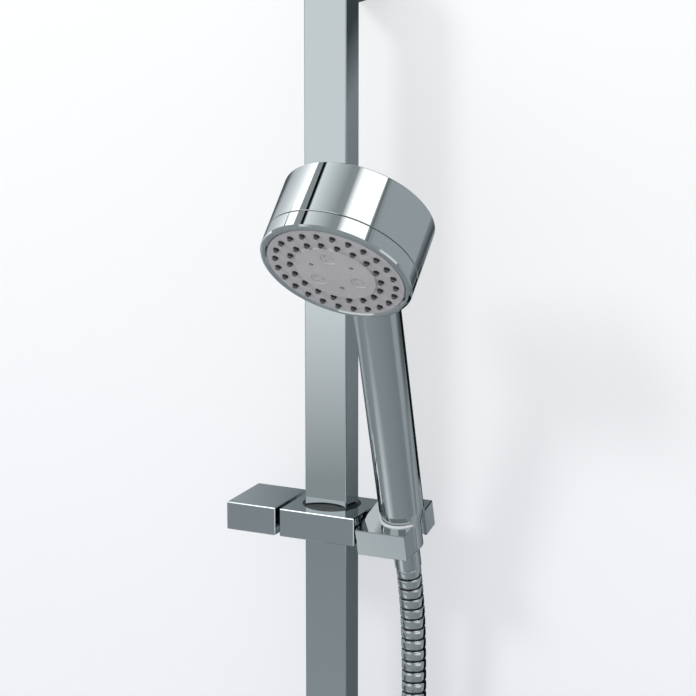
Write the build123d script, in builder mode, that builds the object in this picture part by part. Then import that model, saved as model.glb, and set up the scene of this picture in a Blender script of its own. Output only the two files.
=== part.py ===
from build123d import *
import os
from math import cos, pi, radians, sin, tan

# Shower rail kit: a rectangular riser rail on two wall brackets, a square slider with a
# turn-to-lock knob, a tilting fork, a round hand shower and its ribbed hose.
# Millimetres. The origin is on the wall, at the centre of the upper fixing hole.
# +X is to the right along the wall, +Y into the wall and +Z up.
os.makedirs("parts", exist_ok=True)

# Clearances
press_gap = 0.05
running_gap = 0.06
sliding_gap = 0.15
free_gap = 0.3

# Rail: a rectangular tube held off the wall by two brackets
rail_width = 30.0
rail_depth = 20.0
rail_wall = 1.6
rail_edge = 0.8
rail_length = 700.0
rail_standoff = 60.0
rail_overhang = 20.0
cap_thickness = 2.0
cap_plug = 10.0

# Brackets, each a hollow post over a plate screwed to the wall
post_width = 30.0
post_height = 20.0
post_edge = 0.6
post_wall = 3.2
post_pocket = 15.5
plate_depth = 9.0
wall_hole_radius = 2.75
m5_radius = 2.5
m5_head_radius = 4.25
m5_head_height = 5.0
grub_length = 4.2
rail_nut_width = 22.0
rail_nut_height = 12.0
rail_nut_thickness = 6.0

# Slider: a block round the rail, with a round guide collar in it
slider_drop = 354.5
slider_height = 19.0
slider_left = 26.0
slider_right = 28.3
slider_front = 26.7
slider_back = 21.0
block_edge = 0.5
collar_radius = 19.5
collar_recess = 0.7

# Lock: a knob on a steep screw that presses a shoe on the rail's side
knob_gap = 3.3
knob_width = 35.8
spindle_radius = 4.0
spindle_socket = 22.0
spindle_flange_radius = 5.2
spindle_flange = 1.0
nose_radius = 2.5
nose_grip = 3.0
spacer_radius = 9.0
shoe_width = 11.0
shoe_corner = 2.0
shoe_thickness = 5.0
shoe_travel = 0.8
m4_radius = 2.0
hex_share = 0.55

# Fork: it turns about the lock's own axis, so its sizes are from that pivot
fork_tilt = 15.5
fork_gap = 0.4
fork_length = 36.0
fork_front = 22.2
fork_back = 25.4
fork_above = 8.1
fork_below = 10.8
bore_distance = 24.3
fork_bore_radius = 13.6
mouth_width = 19.4
liner_wall = 1.4
liner_lip = 2.0
liner_lip_height = 1.0
pivot_radius = 3.0
pivot_grip = 9.0
pivot_head_radius = 5.8
pivot_head_height = 2.9
disc_spring_height = 1.2
pivot_washer_radius = 8.0
pivot_washer_seat = 1.0

# Hand shower: lengths run up the handle from the top of the fork
foot_end = 4.0
foot_radius = 12.2
foot_height = 7.0
handle_low_radius = 14.9
handle_high_radius = 15.7
handle_reach = 178.0
handle_bore_radius = 12.2
waterway_radius = 6.0
waterway_wall = 1.5
tail_radius = 10.0
tail_grip = 10.0
tail_thread_length = 12.0
thread_radius = 9.3

# Head: depths run back from the spray face
head_angle = 62.0
head_radius = 49.5
head_depth = 50.1
head_wall = 2.5
head_edge = 0.8
neck_depth = 31.3
seam_depth = 13.0
seam_gap = 0.35
seam_edge = 0.35
rim_front = 0.5
rim_width = 4.6
rim_round = 1.9
plate_front = 1.1
plate_thickness = 2.4
mat_thickness = 1.5
spreader_thickness = 3.0
ring_wall = 3.0
outer_nozzles = 24
inner_nozzles = 18
nozzle_margin = 5.7
nozzle_row_gap = 9.4
nozzle_base = 1.95
nozzle_tip = 1.6
nozzle_bore = 0.6
nozzle_proud = 1.8
disc_margin = 3.3
disc_proud = 1.0
disc_thickness = 2.2
jet_share = 0.592
jet_radius = 1.7
cluster_share = 0.196
cluster_depth = 0.5
pinhole_circle = 3.2
pinhole_radius = 0.6
manifold_front = 15.0
manifold_thickness = 6.0
hub_radius = 9.0
riser_width = 18.0
riser_length = 15.5
riser_margin = 3.5
riser_top = 44.0
port_circle = 20.0
port_radius = 4.0
detent_radius = 2.0
detent_positions = 3
detent_sweep = 60.0
detent_slack = 3.0

# Hose: G 1/2 nuts, ferrules and a ribbed tube of 1.5 m
nut_radius = 11.7
nut_length = 20.3
nut_chamfer = 2.6
nut_floor = 5.3
ferrule_radius = 8.8
ferrule_length = 13.2
ferrule_neck = 7.14
washer_thickness = 1.1
flange_thickness = 2.0
hose_radius = 8.25
hose_bore = 5.5
hose_length = 1500.0
rib_pitch = 7.75
rib_groove = 0.75
rib_ramp = 0.7
end_nut_across = 24.0
end_nut_length = 14.0
end_nut_floor = 3.0
thread_relief = 0.4

# The hose hangs from the fork, bends to plumb, and its spare length is put up in a hank
straight_run = 30.0
hang_shift = 2.7
fold_radius = 49.5
hank_step = 17.5
hank_top = 145.0
hank_lead = 60.0
hank_end_gap = 2.0
climb_share = 0.55
tie_wall = 1.6
tie_height = 8.0
tie_places = (0.25, 0.75)

# Places that follow from the sizes above
rail_y = -rail_standoff
rail_top = rail_overhang
fixing_centres = rail_length - 2 * rail_overhang
slider_y = rail_y + (slider_back - slider_front) / 2
slider_depth = slider_front + slider_back
slider_z = -slider_drop
slider_top = slider_z + slider_height / 2
bracket_heights = (0.0, -fixing_centres)

x_axis = Vector(1, 0, 0)
fork_up = Vector(0, -sin(radians(fork_tilt)), cos(radians(fork_tilt)))
fork_rear = Vector(0, cos(radians(fork_tilt)), sin(radians(fork_tilt)))
pivot_point = Vector(slider_right, slider_y, slider_z)
bore_shift = (fork_back - fork_front) / 2
bore_x = fork_gap + bore_distance
bore_point = pivot_point + x_axis * bore_x + fork_rear * bore_shift + fork_up * fork_above

tilt = radians(head_angle)
head_back = fork_rear * sin(tilt) + fork_up * cos(tilt)
head_low = fork_rear * cos(tilt) - fork_up * sin(tilt)
neck_point = bore_point + fork_up * handle_reach
face_point = neck_point - head_back * neck_depth - head_low * head_radius

ring_lip = head_radius - rim_width
outer_nozzle_circle = ring_lip - nozzle_margin
inner_nozzle_circle = outer_nozzle_circle - nozzle_row_gap
detent_circle = inner_nozzle_circle + nozzle_row_gap / 2
disc_radius = inner_nozzle_circle - disc_margin
jet_circle = disc_radius * jet_share
cluster_radius = disc_radius * cluster_share
cavity_radius = head_radius - head_wall
riser_outer = cavity_radius - riser_margin
riser_middle = riser_outer - riser_length / 2


def save(piece, name):
    """Label a finished piece and write it."""
    piece.part.label = name
    export_step(piece.part, f"parts/{name}.step")


def across(origin, direction):
    """A plane square to a direction, its own X kept along the wall."""
    return Plane(origin=origin, x_dir=(1, 0, 0), z_dir=direction)


def lengthways(origin, direction):
    """A plane that holds a direction as its own Y, for turned outlines."""
    return Plane(origin=origin, x_dir=(1, 0, 0), z_dir=x_axis.cross(direction))


def turned(outline, origin, direction):
    """A turned piece from (radius, height) corners."""
    with BuildPart() as piece:
        with BuildSketch(lengthways(origin, direction)):
            with BuildLine():
                Polyline(*outline, close=True)
            make_face()
        revolve(axis=Axis(origin, direction))
    return piece


def wall_plane(height):
    """The wall at a bracket, looking out into the room."""
    return Plane(origin=(0, 0, height), x_dir=(1, 0, 0), z_dir=(0, -1, 0))


def side_plane(x, y, z):
    """A plane square to the wall and facing right, its own X along +Y."""
    return Plane(origin=(x, y, z), x_dir=(0, 1, 0), z_dir=(1, 0, 0))


# Rail
rail_screw_length = rail_standoff - rail_depth / 2 - post_pocket + rail_wall + rail_nut_thickness
with BuildPart() as rail_tube:
    with BuildSketch(Plane.XY.offset(rail_top)):
        with Locations((0, rail_y)):
            RectangleRounded(rail_width, rail_depth, rail_edge)
            Rectangle(rail_width - 2 * rail_wall, rail_depth - 2 * rail_wall, mode=Mode.SUBTRACT)
    extrude(amount=-rail_length)
    for height in bracket_heights:
        with BuildSketch(wall_plane(height)):
            Circle(m5_radius + 2 * free_gap)
        extrude(amount=rail_standoff, mode=Mode.SUBTRACT)
save(rail_tube, "rail_tube")


def rail_cap(height, up):
    """A push-in cap for one end of the rail, up being 1 or -1."""
    with BuildPart() as cap:
        with BuildSketch(Plane.XY.offset(height)):
            with Locations((0, rail_y)):
                RectangleRounded(rail_width, rail_depth, rail_edge)
        extrude(amount=up * cap_thickness)
        inside = rail_wall + press_gap
        with BuildSketch(Plane.XY.offset(height)):
            with Locations((0, rail_y)):
                Rectangle(rail_width - 2 * inside, rail_depth - 2 * inside)
                Rectangle(rail_width - 4 * inside, rail_depth - 4 * inside, mode=Mode.SUBTRACT)
        extrude(amount=-up * cap_plug)
    return cap


save(rail_cap(rail_top, 1), "rail_top_cap")
save(rail_cap(rail_top - rail_length, -1), "rail_bottom_cap")


# Brackets
def bracket_post(height):
    """A post from the wall to the rail's back, hollow at the wall."""
    length = rail_standoff - rail_depth / 2
    with BuildPart() as post:
        with BuildSketch(wall_plane(height)):
            RectangleRounded(post_width, post_height, post_edge)
        extrude(amount=length)
        with BuildSketch(wall_plane(height)):
            Rectangle(post_width - 2 * post_wall, post_height - 2 * post_wall)
        extrude(amount=post_pocket, mode=Mode.SUBTRACT)
        with BuildSketch(wall_plane(height)):
            Circle(m5_radius + press_gap)
        extrude(amount=length, mode=Mode.SUBTRACT)
        with BuildSketch(Plane.XY.offset(height - post_height / 2)):
            with Locations((0, -plate_depth / 2)):
                Circle(m5_radius + press_gap)
        extrude(amount=post_wall, mode=Mode.SUBTRACT)
    return post


def bracket_plate(height):
    """The plate that is screwed to the wall and fills the post's pocket."""
    inside = post_wall + press_gap
    plate_height = post_height - 2 * inside
    with BuildPart() as plate:
        with BuildSketch(wall_plane(height)):
            Rectangle(post_width - 2 * inside, plate_height)
            Circle(wall_hole_radius, mode=Mode.SUBTRACT)
        extrude(amount=plate_depth)
        with BuildSketch(Plane.XY.offset(height - plate_height / 2)):
            with Locations((0, -plate_depth / 2)):
                Circle(m5_radius + press_gap)
        extrude(amount=grub_length - post_wall, mode=Mode.SUBTRACT)
    return plate


for place, height in zip(("upper", "lower"), bracket_heights):
    save(bracket_post(height), f"{place}_bracket")
    save(bracket_plate(height), f"{place}_wall_plate")

with BuildPart() as bracket_grub_screws:
    for height in bracket_heights:
        with BuildSketch(Plane.XY.offset(height - post_height / 2)):
            with Locations((0, -plate_depth / 2)):
                Circle(m5_radius)
        extrude(amount=grub_length)
        with BuildSketch(Plane.XY.offset(height - post_height / 2)):
            with Locations((0, -plate_depth / 2)):
                RegularPolygon(m5_radius * hex_share, 6)
        extrude(amount=grub_length / 2, mode=Mode.SUBTRACT)
save(bracket_grub_screws, "bracket_grub_screws")

with BuildPart() as rail_screws:
    for height in bracket_heights:
        head = wall_plane(height).offset(post_pocket - m5_head_height)
        with BuildSketch(head):
            Circle(m5_head_radius)
        extrude(amount=m5_head_height)
        with BuildSketch(head):
            Circle(m5_radius)
        extrude(amount=m5_head_height + rail_screw_length)
        with BuildSketch(head):
            RegularPolygon(m5_head_radius * hex_share, 6)
        extrude(amount=m5_head_height / 2, mode=Mode.SUBTRACT)
save(rail_screws, "rail_screws")

with BuildPart() as rail_nuts:
    for height in bracket_heights:
        with BuildSketch(wall_plane(height).offset(rail_standoff - rail_depth / 2 + rail_wall)):
            Rectangle(rail_nut_width, rail_nut_height)
            Circle(m5_radius + press_gap, mode=Mode.SUBTRACT)
        extrude(amount=rail_nut_thickness)
save(rail_nuts, "rail_nuts")

# Slider: the block, with a round bore for the collar and a cross bore for lock and pivot
bore_side = collar_radius + press_gap
shoe_back = -rail_width / 2 - press_gap - shoe_thickness
shoe_pocket = shoe_back - shoe_travel - free_gap - spindle_flange
shoe_space = shoe_width + 2 * sliding_gap
head_start = bore_side + free_gap
head_end = head_start + pivot_head_height + disc_spring_height
with BuildPart() as slider_body:
    with BuildSketch(Plane.XY.offset(slider_z - slider_height / 2)):
        with Locations(((slider_right - slider_left) / 2, slider_y)):
            Rectangle(slider_left + slider_right, slider_depth)
    extrude(amount=slider_height)
    chamfer(slider_body.edges(), block_edge)
    with BuildSketch(Plane.XY.offset(slider_z - slider_height / 2)):
        with Locations((0, rail_y)):
            Circle(bore_side)
    extrude(amount=slider_height, mode=Mode.SUBTRACT)
    with BuildSketch(side_plane(-slider_left, slider_y, slider_z)):
        Circle(spindle_radius + running_gap)
    extrude(amount=slider_left, mode=Mode.SUBTRACT)
    with BuildSketch(side_plane(shoe_pocket, slider_y, slider_z)):
        RectangleRounded(shoe_space, shoe_space, shoe_corner)
    extrude(amount=-shoe_pocket, mode=Mode.SUBTRACT)
    with BuildSketch(side_plane(0, slider_y, slider_z)):
        Circle(pivot_radius + running_gap)
    extrude(amount=slider_right, mode=Mode.SUBTRACT)
    with BuildSketch(side_plane(0, slider_y, slider_z)):
        Circle(pivot_head_radius + free_gap)
    extrude(amount=head_end, mode=Mode.SUBTRACT)
save(slider_body, "slider_body")

with BuildPart() as slider_collar:
    with BuildSketch(Plane.XY.offset(slider_z - slider_height / 2 + collar_recess)):
        with Locations((0, rail_y)):
            Circle(collar_radius)
            Rectangle(
                rail_width + 2 * sliding_gap, rail_depth + 2 * sliding_gap, mode=Mode.SUBTRACT
            )
    extrude(amount=slider_height - 2 * collar_recess)
    with BuildSketch(side_plane(0, slider_y, slider_z)):
        RectangleRounded(shoe_space, shoe_space, shoe_corner)
    extrude(amount=-slider_left, mode=Mode.SUBTRACT)
save(slider_collar, "slider_collar")

# Lock: the spindle turns in place, held by its flange, and its threaded nose draws the shoe
with BuildPart() as brake_shoe:
    with BuildSketch(side_plane(shoe_back, slider_y, slider_z)):
        RectangleRounded(shoe_width, shoe_width, shoe_corner)
    extrude(amount=shoe_thickness)
    with BuildSketch(side_plane(shoe_back, slider_y, slider_z)):
        Circle(nose_radius + running_gap)
    extrude(amount=nose_grip + shoe_travel + free_gap, mode=Mode.SUBTRACT)
save(brake_shoe, "brake_shoe")

knob_face = -slider_left - knob_gap
spindle_end = knob_face - spindle_socket
with BuildPart() as clamp_spindle:
    with BuildSketch(side_plane(spindle_end + free_gap, slider_y, slider_z)):
        Circle(spindle_radius)
    extrude(amount=shoe_pocket + spindle_flange - spindle_end - free_gap)
    with BuildSketch(side_plane(shoe_pocket + running_gap, slider_y, slider_z)):
        Circle(spindle_flange_radius)
    extrude(amount=spindle_flange - running_gap)
    with BuildSketch(side_plane(shoe_pocket, slider_y, slider_z)):
        Circle(nose_radius)
    extrude(amount=shoe_back + nose_grip - shoe_pocket)
save(clamp_spindle, "clamp_spindle")

knob_screw_x = knob_face - spindle_socket / 2
with BuildPart() as lock_knob:
    with BuildSketch(Plane.XY.offset(slider_z - slider_height / 2)):
        with Locations((knob_face - knob_width / 2, slider_y)):
            Rectangle(knob_width, slider_depth)
    extrude(amount=slider_height)
    chamfer(lock_knob.edges(), block_edge)
    with BuildSketch(side_plane(spindle_end, slider_y, slider_z)):
        Circle(spindle_radius + press_gap)
    extrude(amount=spindle_socket, mode=Mode.SUBTRACT)
    with BuildSketch(Plane.XY.offset(slider_z - slider_height / 2)):
        with Locations((knob_screw_x, slider_y)):
            Circle(m4_radius + press_gap)
    extrude(amount=slider_height / 2, mode=Mode.SUBTRACT)
save(lock_knob, "lock_knob")

with BuildPart() as knob_grub_screw:
    screw_length = slider_height / 2 - spindle_radius - press_gap - block_edge
    with BuildSketch(Plane.XY.offset(slider_z - slider_height / 2 + block_edge)):
        with Locations((knob_screw_x, slider_y)):
            Circle(m4_radius)
    extrude(amount=screw_length)
    with BuildSketch(Plane.XY.offset(slider_z - slider_height / 2 + block_edge)):
        with Locations((knob_screw_x, slider_y)):
            RegularPolygon(m4_radius * hex_share, 6)
    extrude(amount=screw_length / 2, mode=Mode.SUBTRACT)
save(knob_grub_screw, "knob_grub_screw")

with BuildPart() as knob_spacer:
    with BuildSketch(side_plane(knob_face, slider_y, slider_z)):
        Circle(spacer_radius)
        Circle(spindle_radius + press_gap, mode=Mode.SUBTRACT)
    extrude(amount=knob_gap - running_gap)
save(knob_spacer, "knob_spacer")

# Fork, with the seat for the hand shower and a mouth for the hose
fork_floor = across(pivot_point - fork_up * fork_below, fork_up)
fork_height = fork_above + fork_below
fork_face = Plane(
    origin=pivot_point + x_axis * fork_gap, x_dir=tuple(fork_rear), z_dir=(1, 0, 0)
)
with BuildPart() as holder_fork:
    with BuildSketch(fork_floor):
        with Locations((fork_gap + fork_length / 2, bore_shift)):
            Rectangle(fork_length, fork_front + fork_back)
    extrude(amount=fork_height)
    chamfer(holder_fork.edges(), block_edge)
    with BuildSketch(fork_floor):
        with Locations((bore_x, bore_shift)):
            Circle(fork_bore_radius)
        with Locations((bore_x + fork_length / 2, bore_shift)):
            Rectangle(fork_length, mouth_width)
    extrude(amount=fork_height, mode=Mode.SUBTRACT)
    with BuildSketch(fork_face):
        Circle(pivot_radius + press_gap)
    extrude(amount=pivot_grip, mode=Mode.SUBTRACT)
    with BuildSketch(fork_face):
        Circle(pivot_washer_radius + press_gap)
    extrude(amount=pivot_washer_seat, mode=Mode.SUBTRACT)
save(holder_fork, "holder_fork")

# The seat liner is a split ring: a cone for the handle's foot under a lip on the fork
liner_out = fork_bore_radius - press_gap
liner_low = foot_radius + free_gap
foot_slope = (handle_low_radius - foot_radius) / (foot_end + foot_height)
lip_bore = liner_low + foot_slope * (foot_end + liner_lip_height)
seat_liner_ring = turned(
    (
        (liner_low, -fork_height + block_edge),
        (liner_out, -fork_height + block_edge),
        (liner_out, press_gap),
        (liner_out + liner_lip, press_gap),
        (lip_bore + liner_wall, liner_lip_height),
        (lip_bore, liner_lip_height),
        (liner_low, -foot_end),
    ),
    bore_point,
    fork_up,
)
with BuildPart() as seat_liner:
    add(seat_liner_ring.part)
    with BuildSketch(fork_floor):
        with Locations((bore_x + fork_length / 2, bore_shift)):
            Rectangle(fork_length, mouth_width)
    extrude(amount=fork_height + liner_lip_height, mode=Mode.SUBTRACT)
save(seat_liner, "seat_liner")

with BuildPart() as pivot_bolt:
    bolt_head = side_plane(head_start, slider_y, slider_z)
    with BuildSketch(bolt_head):
        Circle(pivot_head_radius)
    extrude(amount=pivot_head_height)
    with BuildSketch(bolt_head):
        Circle(pivot_radius)
    extrude(amount=slider_right + fork_gap + pivot_grip - free_gap - head_start)
    with BuildSketch(bolt_head):
        RegularPolygon(pivot_radius, 6)
    extrude(amount=pivot_head_height / 2, mode=Mode.SUBTRACT)
save(pivot_bolt, "pivot_bolt")

with BuildPart() as pivot_spring:
    with BuildSketch(side_plane(head_start + pivot_head_height, slider_y, slider_z)):
        Circle(pivot_head_radius)
        Circle(pivot_radius + press_gap, mode=Mode.SUBTRACT)
    extrude(amount=disc_spring_height - press_gap)
save(pivot_spring, "pivot_spring")

with BuildPart() as pivot_washer:
    with BuildSketch(side_plane(slider_right + press_gap, slider_y, slider_z)):
        Circle(pivot_washer_radius)
        Circle(pivot_radius + press_gap, mode=Mode.SUBTRACT)
    extrude(amount=fork_gap + pivot_washer_seat - press_gap)
save(pivot_washer, "pivot_washer")

# Hand shower: the handle and the drum are one casting, hollow right through
cavity_back = head_depth - head_wall
with BuildPart() as handset_body:
    with BuildSketch(lengthways(face_point, head_back)):
        with BuildLine():
            Polyline(
                (0, seam_depth),
                (head_radius - seam_edge, seam_depth),
                (head_radius, seam_depth + seam_edge),
                (head_radius, head_depth - head_edge),
                (head_radius - head_edge, head_depth),
                (0, head_depth),
                close=True,
            )
        make_face()
    revolve(axis=Axis(face_point, head_back))
    with BuildSketch(lengthways(bore_point, fork_up)):
        with BuildLine():
            Polyline(
                (0, -foot_end),
                (foot_radius, -foot_end),
                (handle_low_radius, foot_height),
                (handle_high_radius, handle_reach + head_wall * 4),
                (0, handle_reach + head_wall * 4),
                close=True,
            )
        make_face()
    revolve(axis=Axis(bore_point, fork_up))
    with BuildSketch(across(face_point + head_back * head_depth, head_back)):
        Circle(head_radius)
    extrude(amount=head_radius, mode=Mode.SUBTRACT)
    with BuildSketch(across(face_point, head_back)):
        Circle(cavity_radius)
    extrude(amount=cavity_back, mode=Mode.SUBTRACT)
    with BuildSketch(across(bore_point + fork_up * tail_grip, fork_up)):
        Circle(handle_bore_radius)
    extrude(amount=handle_reach + head_wall * 4 - tail_grip, mode=Mode.SUBTRACT)
    with BuildSketch(across(bore_point - fork_up * foot_end, fork_up)):
        Circle(tail_radius + press_gap)
    extrude(amount=foot_end + tail_grip, mode=Mode.SUBTRACT)
save(handset_body, "handset_body")

# The tail is the threaded end, glued in the foot, with a socket for the waterway tube
tail_end = -foot_end - tail_thread_length
tube_seat = tail_grip / 2
handset_tail = turned(
    (
        (waterway_radius - waterway_wall, tail_end),
        (thread_radius - press_gap, tail_end),
        (thread_radius - press_gap, -foot_end),
        (tail_radius, -foot_end),
        (tail_radius, tail_grip),
        (waterway_radius + press_gap, tail_grip),
        (waterway_radius + press_gap, tube_seat),
        (waterway_radius - waterway_wall, tube_seat),
    ),
    bore_point,
    fork_up,
)
save(handset_tail, "handset_tail")

riser_reach = (head_radius - riser_middle) / sin(tilt)
waterway_end = handle_reach + riser_reach
waterway_tube = turned(
    (
        (waterway_radius - waterway_wall, tube_seat + press_gap),
        (waterway_radius, tube_seat + press_gap),
        (waterway_radius, waterway_end - press_gap),
        (waterway_radius - waterway_wall, waterway_end - press_gap),
    ),
    bore_point,
    fork_up,
)
save(waterway_tube, "waterway_tube")

# Manifold: it closes the drum and feeds the spray plates through one port
plate_back = plate_front + plate_thickness
mat_back = plate_back + mat_thickness
spreader_back = mat_back + spreader_thickness
manifold_back = manifold_front + manifold_thickness
with BuildPart() as manifold:
    with BuildSketch(across(face_point + head_back * manifold_front, head_back)):
        Circle(cavity_radius - press_gap)
    extrude(amount=manifold_thickness)
    with BuildSketch(across(face_point + head_back * manifold_back, head_back)):
        with Locations((0, riser_middle)):
            Rectangle(riser_width, riser_length)
    extrude(amount=riser_top - manifold_back)
    with BuildSketch(across(face_point + head_back * manifold_front, head_back)):
        Circle(hub_radius)
        with Locations((0, detent_circle)):
            Circle(2 * detent_radius)
    extrude(amount=-(manifold_front - spreader_back) / 2)
    with BuildSketch(across(bore_point + fork_up * handle_reach, fork_up)):
        Circle(waterway_radius + press_gap)
    extrude(amount=riser_reach, mode=Mode.SUBTRACT)
    with BuildSketch(across(face_point + head_back * manifold_back, head_back)):
        with Locations((0, riser_middle)):
            Circle(waterway_radius - waterway_wall)
    extrude(amount=(riser_top - manifold_back) / 2, mode=Mode.SUBTRACT)
    with BuildSketch(across(face_point + head_back * spreader_back, head_back)):
        with Locations((0, -port_circle)):
            Circle(port_radius + press_gap)
        Circle(m5_radius + press_gap)
    extrude(amount=manifold_back - spreader_back, mode=Mode.SUBTRACT)
    with BuildSketch(across(face_point + head_back * spreader_back, head_back)):
        with Locations((0, detent_circle)):
            Circle(detent_radius + press_gap)
    extrude(
        amount=manifold_front - spreader_back + manifold_thickness / 2, mode=Mode.SUBTRACT
    )
save(manifold, "manifold")

with BuildPart() as port_seal:
    with BuildSketch(across(face_point + head_back * (spreader_back + free_gap), head_back)):
        with Locations((0, -port_circle)):
            Circle(port_radius)
            Circle(port_radius / 2, mode=Mode.SUBTRACT)
    extrude(amount=manifold_back - spreader_back - free_gap)
save(port_seal, "port_seal")

detent_place = face_point + head_low * detent_circle
ball_depth = spreader_back + detent_radius - detent_radius / 4 + press_gap
with BuildPart() as detent_ball:
    with BuildSketch(lengthways(detent_place + head_back * ball_depth, head_back)):
        Circle(detent_radius - press_gap)
        with Locations((-detent_radius, 0)):
            Rectangle(2 * detent_radius, 4 * detent_radius, mode=Mode.SUBTRACT)
    revolve(axis=Axis(detent_place + head_back * ball_depth, head_back))
save(detent_ball, "detent_ball")

spring_low = ball_depth + detent_radius
spring_high = manifold_front + manifold_thickness / 2
spring_turns = 5
with BuildPart() as detent_spring:
    spring_wire = detent_radius / 8
    coil_radius = detent_radius - 2 * spring_wire
    coil_base = detent_place + head_back * (spring_low + spring_wire)
    coil_rise = spring_high - spring_low - 3 * spring_wire
    with BuildLine():
        coil = Helix(
            pitch=coil_rise / spring_turns,
            height=coil_rise,
            radius=coil_radius,
            center=tuple(coil_base),
            direction=tuple(head_back),
        )
    with BuildSketch(Plane(origin=coil @ 0, z_dir=coil % 0)):
        Circle(spring_wire)
    sweep(path=coil, is_frenet=True)
save(detent_spring, "detent_spring")


# Spray pack: the ring, face plate, nozzle mat, spreader and centre disc turn together
outer_places = PolarLocations(outer_nozzle_circle, outer_nozzles).locations
inner_start = 180 / inner_nozzles
inner_places = PolarLocations(inner_nozzle_circle, inner_nozzles, start_angle=inner_start).locations
nozzle_places = outer_places + inner_places

ring_out = head_radius
ring_in = head_radius - ring_wall
spray_ring = turned(
    (
        (ring_lip, plate_back),
        (ring_lip, rim_front + rim_round / 2),
        (ring_lip + rim_round / 2, rim_front),
        (ring_out - rim_round, rim_front),
        (ring_out - rim_round / 3, rim_front + rim_round / 3),
        (ring_out, rim_front + rim_round),
        (ring_out, seam_depth - seam_gap - seam_edge),
        (ring_out - seam_edge, seam_depth - seam_gap),
        (ring_in, seam_depth - seam_gap),
        (ring_in, plate_back),
    ),
    face_point,
    head_back,
)
save(spray_ring, "spray_ring")

feed_angle = 60
with BuildPart() as face_plate:
    with BuildSketch(across(face_point + head_back * plate_front, head_back)):
        Circle(ring_lip - free_gap)
        with Locations(nozzle_places):
            Circle(nozzle_base + sliding_gap, mode=Mode.SUBTRACT)
        with PolarLocations(jet_circle, 6, start_angle=feed_angle / 2):
            Circle(cluster_radius * 0.8, mode=Mode.SUBTRACT)
        Circle(m5_head_radius + free_gap, mode=Mode.SUBTRACT)
    extrude(amount=plate_thickness)
    with BuildSketch(across(face_point + head_back * plate_front, head_back)):
        Circle(disc_radius + press_gap)
    extrude(amount=disc_thickness - disc_proud, mode=Mode.SUBTRACT)
save(face_plate, "face_plate")

nozzle_length = plate_thickness + nozzle_proud
with BuildPart() as nozzle_mat:
    with BuildSketch(across(face_point + head_back * plate_back, head_back)):
        Circle(ring_in - press_gap)
        with PolarLocations(jet_circle, 6, start_angle=feed_angle / 2):
            Circle(cluster_radius * 0.8, mode=Mode.SUBTRACT)
        Circle(m5_head_radius + free_gap, mode=Mode.SUBTRACT)
    extrude(amount=mat_thickness)
    with Locations(across(face_point + head_back * plate_back, head_back)):
        with Locations(nozzle_places):
            Cone(nozzle_tip, nozzle_base, nozzle_length, align=(Align.CENTER, Align.CENTER, Align.MAX))
    with BuildSketch(across(face_point + head_back * (plate_back - nozzle_length), head_back)):
        with Locations(nozzle_places):
            Circle(nozzle_bore)
    extrude(amount=nozzle_length + mat_thickness, mode=Mode.SUBTRACT)
save(nozzle_mat, "nozzle_mat")

detent_line = CenterArc((0, 0), detent_circle, 90 - detent_slack, detent_sweep + 2 * detent_slack)
with BuildPart() as spreader:
    with BuildSketch(across(face_point + head_back * mat_back, head_back)):
        Circle(ring_in - press_gap)
        with Locations(nozzle_places):
            Circle(2 * nozzle_bore, mode=Mode.SUBTRACT)
        with PolarLocations(jet_circle, 6, start_angle=feed_angle / 2):
            Circle(jet_radius, mode=Mode.SUBTRACT)
    extrude(amount=spreader_thickness)
    with BuildSketch(across(face_point + head_back * mat_back, head_back)):
        Circle(m5_head_radius + free_gap)
    extrude(amount=spreader_thickness / 2, mode=Mode.SUBTRACT)
    with BuildSketch(across(face_point + head_back * mat_back, head_back)):
        Circle(m5_radius + running_gap)
    extrude(amount=spreader_thickness, mode=Mode.SUBTRACT)
    with BuildSketch(across(face_point + head_back * spreader_back, head_back)):
        SlotArc(detent_line, 2 * detent_radius)
    extrude(amount=-spreader_thickness / 4, mode=Mode.SUBTRACT)
    with BuildSketch(across(face_point + head_back * spreader_back, head_back)):
        for position in range(detent_positions):
            turn = 90 + position * detent_sweep / (detent_positions - 1)
            with Locations(Vector(detent_circle, 0).rotate(Axis.Z, turn)):
                Circle(detent_radius / 2)
    extrude(amount=-spreader_thickness / 2, mode=Mode.SUBTRACT)
save(spreader, "spreader")

with BuildPart() as centre_disc:
    disc_front = plate_front - disc_proud
    with BuildSketch(across(face_point + head_back * disc_front, head_back)):
        Circle(disc_radius)
        with PolarLocations(jet_circle, 3, start_angle=90):
            Circle(jet_radius, mode=Mode.SUBTRACT)
    extrude(amount=disc_thickness)
    with BuildSketch(across(face_point + head_back * disc_front, head_back)):
        with PolarLocations(jet_circle, 3, start_angle=30):
            Circle(cluster_radius)
    extrude(amount=cluster_depth, mode=Mode.SUBTRACT)
    with BuildSketch(across(face_point + head_back * disc_front, head_back)):
        with PolarLocations(jet_circle, 3, start_angle=30):
            with PolarLocations(pinhole_circle, 3, start_angle=90):
                Circle(pinhole_radius)
    extrude(amount=disc_thickness, mode=Mode.SUBTRACT)
save(centre_disc, "centre_disc")

screw_front = plate_front + disc_thickness - disc_proud + press_gap
screw_shoulder = mat_back + spreader_thickness / 2
with BuildPart() as spray_pivot_screw:
    with BuildSketch(across(face_point + head_back * screw_front, head_back)):
        Circle(m5_head_radius)
    extrude(amount=screw_shoulder - screw_front - press_gap)
    with BuildSketch(across(face_point + head_back * screw_front, head_back)):
        Circle(m5_radius)
    extrude(amount=manifold_back - screw_front)
    with BuildSketch(across(face_point + head_back * screw_front, head_back)):
        RegularPolygon(m5_radius * hex_share * 1.5, 6)
    extrude(amount=(screw_shoulder - screw_front) / 2, mode=Mode.SUBTRACT)
save(spray_pivot_screw, "spray_pivot_screw")

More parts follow.
